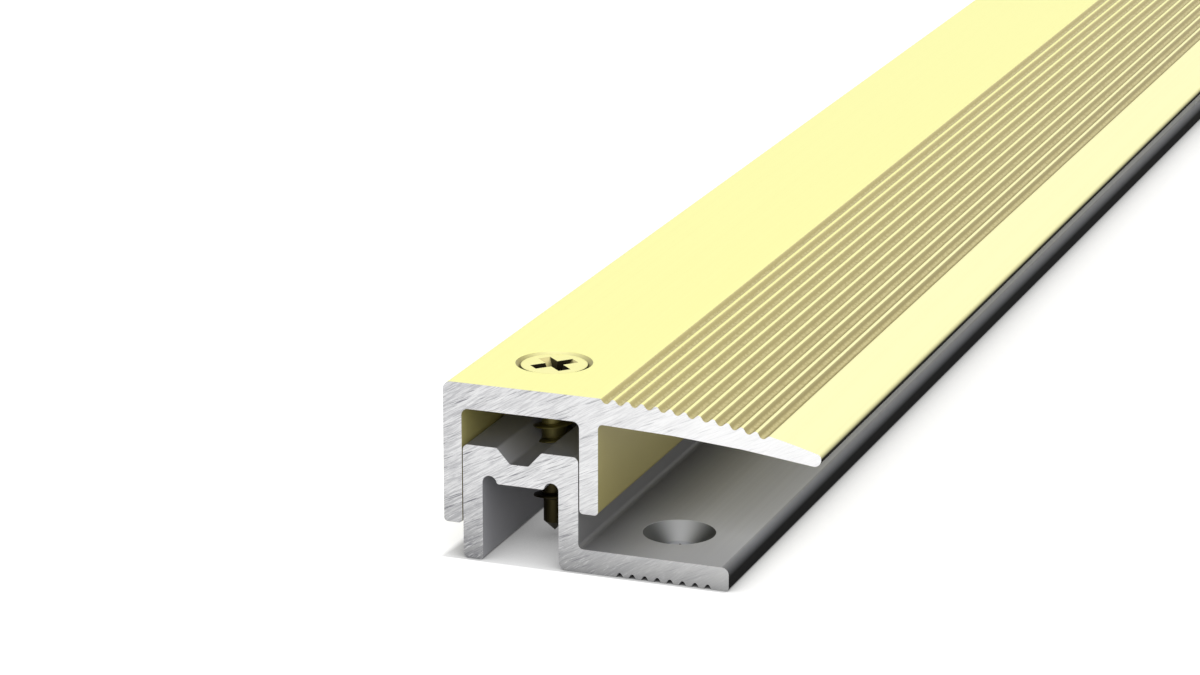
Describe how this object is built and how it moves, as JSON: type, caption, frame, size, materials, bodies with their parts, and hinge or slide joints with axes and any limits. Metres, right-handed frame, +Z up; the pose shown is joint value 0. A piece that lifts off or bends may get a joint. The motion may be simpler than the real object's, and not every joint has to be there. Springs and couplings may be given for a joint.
{
  "type": "floor covering end profile",
  "caption": "Two-part aluminium trim: a cover with a grooved, falling wing is screwed down over a footed base to finish the free edge of a floor covering.",
  "frame": {"origin": "floor level under the middle of the width and of the length", "axes": "+Z up from the floor, +Y along the stock, +X across it from the outer leg to the nose"},
  "size_m": [0.034, 1, 0.0158],
  "materials": {
    "anodised_aluminium": "satin, pale yellow anodised",
    "mill_aluminium": "as extruded",
    "yellow_screw": "yellow plated"
  },
  "bodies": {
    "root": {"cover_profile": "anodised_aluminium", "base_profile": "mill_aluminium", "cover_screw_1": "yellow_screw", "cover_screw_2": "yellow_screw", "cover_screw_3": "yellow_screw", "cover_screw_4": "yellow_screw", "cover_screw_5": "yellow_screw", "cover_screw_6": "yellow_screw"}
  },
  "joints": []
}
